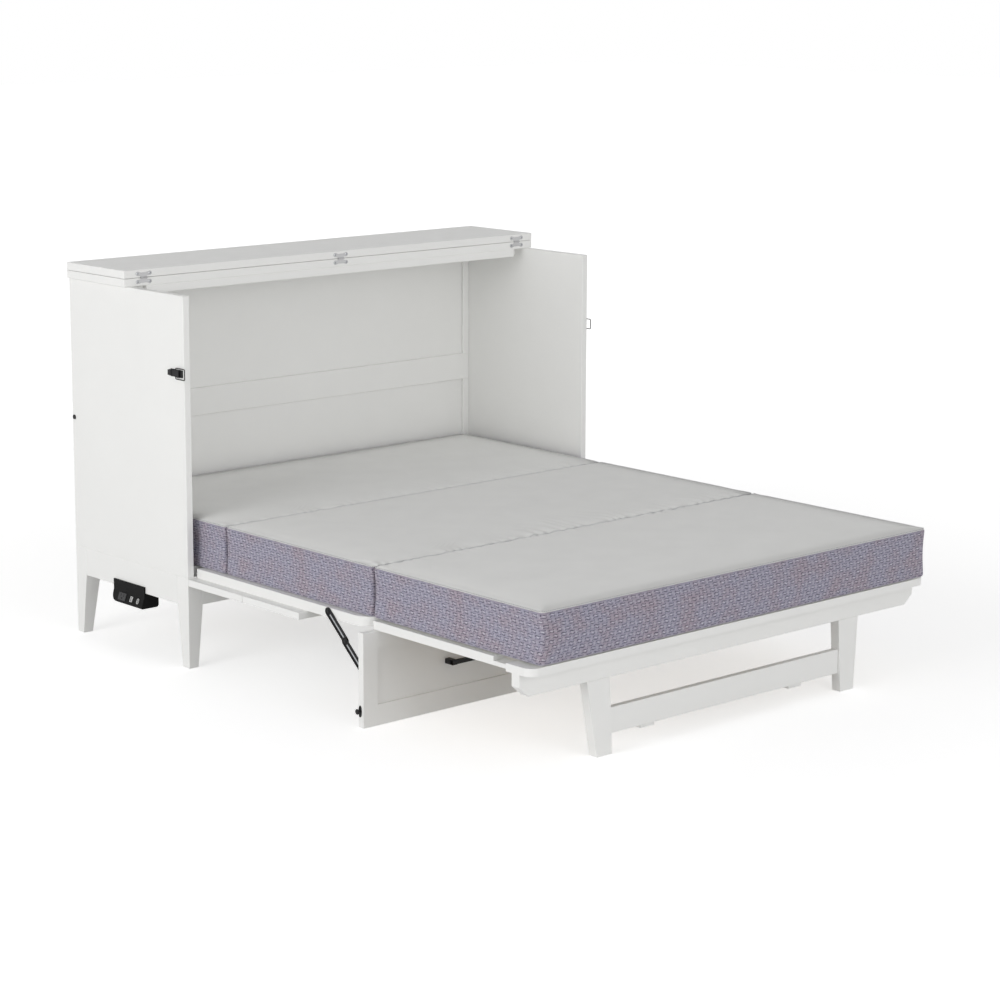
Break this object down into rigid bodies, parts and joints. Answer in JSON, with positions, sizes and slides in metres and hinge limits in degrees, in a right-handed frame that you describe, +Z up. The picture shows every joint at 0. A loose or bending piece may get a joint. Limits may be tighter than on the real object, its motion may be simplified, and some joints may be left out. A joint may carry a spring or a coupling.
{
  "type": "cabinet bed",
  "caption": "Shallow white cabinet whose front folds down into a slatted platform for a three-section mattress, propped by a hinged panel and a folding trestle.",
  "frame": {"origin": "on the floor, under the middle of the whole opened bed", "axes": "+Z up; -Y towards the foot of the bed, +Y towards the cabinet's back; -X is the side with the power unit"},
  "size_m": [1.64, 2.074, 1.1597],
  "materials": {
    "white_paint": "satin white paint",
    "bare_wood": "bare sanded pine",
    "black_metal": "satin black coating",
    "pale_metal": "pale grey satin coating",
    "steel": "plain zinc-plated steel",
    "black_plastic": "fine-textured black plastic",
    "port_plastic": "smooth plastic",
    "mattress_cloth": "stretch knit over foam"
  },
  "bodies": {
    "cabinet": {"side_panel_left": "white_paint", "side_panel_right": "white_paint", "side_aprons": "white_paint", "front_legs": "white_paint", "back_legs": "white_paint", "apron_front": "white_paint", "apron_back": "white_paint", "back_panel": "white_paint", "cabinet_floor": "white_paint", "floor_bearers": "bare_wood", "back_board": "white_paint", "cleats": "white_paint", "rear_top": "white_paint", "top_rail": "white_paint", "lid_hinge_leaves_fixed": "pale_metal", "bolt_caps": "black_metal", "power_unit": "black_plastic", "power_outlets": "port_plastic", "main_hinge_fixed": "steel", "latch_bases": "black_metal"},
    "top_flap": {"top_flap": "white_paint", "lid_hinge_leaves_moving": "pale_metal"},
    "middle_platform": {"main_hinge_moving": "steel", "section_hinge_mid": "steel", "mid_rail_left": "white_paint", "mid_rail_right": "white_paint", "mid_head_rail": "white_paint", "mid_foot_rail": "white_paint", "mid_stringer": "white_paint", "mid_slats": "bare_wood", "face_board_lower": "white_paint", "face_board_middle": "white_paint", "face_pulls": "black_metal", "support_hinge_eyes": "black_metal", "stay_pivots": "black_metal"},
    "support_leg_panel": {"support_panel": "white_paint", "support_hinge_pins": "steel", "support_pulls": "black_metal", "keeper_studs": "black_metal", "stay_lugs": "black_metal"},
    "stay_upper": {"stay_upper_links": "black_metal"},
    "stay_lower": {"stay_lower_links": "black_metal"},
    "foot_platform": {"section_hinge_foot": "steel", "trestle_hinge_fixed": "steel", "foot_side_rails": "white_paint", "foot_head_rail": "white_paint", "foot_end_board": "white_paint", "foot_slats": "bare_wood"},
    "trestle": {"trestle_hinge_moving": "steel", "trestle_top_rail": "white_paint", "trestle_legs": "white_paint", "trestle_stretcher": "white_paint", "trestle_blocks": "white_paint"},
    "latch_lever_left": {"latch_lever_left": "black_metal"},
    "latch_lever_right": {"latch_lever_right": "black_metal"},
    "latch_bail_left": {"latch_bail_left": "black_metal"},
    "latch_bail_right": {"latch_bail_right": "black_metal"},
    "mattress_head": {"mattress_head": "mattress_cloth"},
    "mattress_middle": {"mattress_middle": "mattress_cloth"},
    "mattress_foot": {"mattress_foot": "mattress_cloth"}
  },
  "joints": [
    {"name": "bed_fold", "type": "hinge", "parent": "cabinet", "child": "middle_platform", "pos_m": [0, 0.455, 0.288], "axis": [-1, 0, 0], "range_deg": [0, 90], "deforming": ["mattress_head", "mattress_middle", "mattress_foot"]},
    {"name": "foot_fold", "type": "hinge", "parent": "middle_platform", "child": "foot_platform", "pos_m": [0, -0.35967, 0.3005], "axis": [-1, 0, 0], "range_deg": [0, 180]},
    {"name": "trestle_fold", "type": "hinge", "parent": "foot_platform", "child": "trestle", "pos_m": [0, -0.938, 0.266], "axis": [1, 0, 0], "range_deg": [0, 90]},
    {"name": "mattress_head_lift", "type": "hinge", "parent": "cabinet", "child": "mattress_head", "pos_m": [0, 0.925, 0.3716], "axis": [-1, 0, 0], "range_deg": [0, 90]},
    {"name": "mattress_middle_fold", "type": "hinge", "parent": "mattress_head", "child": "mattress_middle", "pos_m": [0, 0.31767, 0.3001], "axis": [1, 0, 0], "range_deg": [0, 180]},
    {"name": "mattress_foot_fold", "type": "hinge", "parent": "mattress_middle", "child": "mattress_foot", "pos_m": [0, -0.35967, 0.4511], "axis": [-1, 0, 0], "range_deg": [0, 180]},
    {"name": "support_panel_hinge", "type": "hinge", "parent": "middle_platform", "child": "support_leg_panel", "pos_m": [0, -0.36017, 0.267], "axis": [1, 0, 0], "range_deg": [0, 90]},
    {"name": "stay_upper_pivot", "type": "hinge", "parent": "middle_platform", "child": "stay_upper", "pos_m": [0, -0.186, 0.2896], "axis": [1, 0, 0], "range_deg": [-110.4, 0]},
    {"name": "stay_lower_pivot", "type": "hinge", "parent": "support_leg_panel", "child": "stay_lower", "pos_m": [0, -0.3436, 0.15], "axis": [1, 0, 0], "range_deg": [-51.8, 0]},
    {"name": "top_flap_hinge", "type": "hinge", "parent": "cabinet", "child": "top_flap", "pos_m": [0, 0.719, 1.13542], "axis": [1, 0, 0], "range_deg": [0, 180]},
    {"name": "latch_left_lever", "type": "hinge", "parent": "cabinet", "child": "latch_lever_left", "pos_m": [-0.814, 0.462, 0.88217], "axis": [0, 0, 1], "range_deg": [0, 140]},
    {"name": "latch_left_bail", "type": "hinge", "parent": "latch_lever_left", "child": "latch_bail_left", "pos_m": [-0.815, 0.474, 0.88217], "axis": [0, 0, 1], "range_deg": [-140, 0]},
    {"name": "latch_right_lever", "type": "hinge", "parent": "cabinet", "child": "latch_lever_right", "pos_m": [0.814, 0.462, 0.88217], "axis": [0, 0, -1], "range_deg": [0, 140]},
    {"name": "latch_right_bail", "type": "hinge", "parent": "latch_lever_right", "child": "latch_bail_right", "pos_m": [0.815, 0.474, 0.88217], "axis": [0, 0, -1], "range_deg": [-140, 0]}
  ],
  "couplings": [
    {"joint": "foot_fold", "follows": "bed_fold", "ratio": 2},
    {"joint": "trestle_fold", "follows": "bed_fold", "ratio": 1},
    {"joint": "mattress_head_lift", "follows": "bed_fold", "ratio": 1},
    {"joint": "mattress_middle_fold", "follows": "bed_fold", "ratio": 2},
    {"joint": "mattress_foot_fold", "follows": "bed_fold", "ratio": 2},
    {"joint": "stay_upper_pivot", "follows": "support_panel_hinge", "ratio": -1.2256},
    {"joint": "stay_lower_pivot", "follows": "support_panel_hinge", "ratio": -0.5744},
    {"joint": "latch_left_bail", "follows": "latch_left_lever", "ratio": -1},
    {"joint": "latch_right_bail", "follows": "latch_right_lever", "ratio": -1}
  ]
}
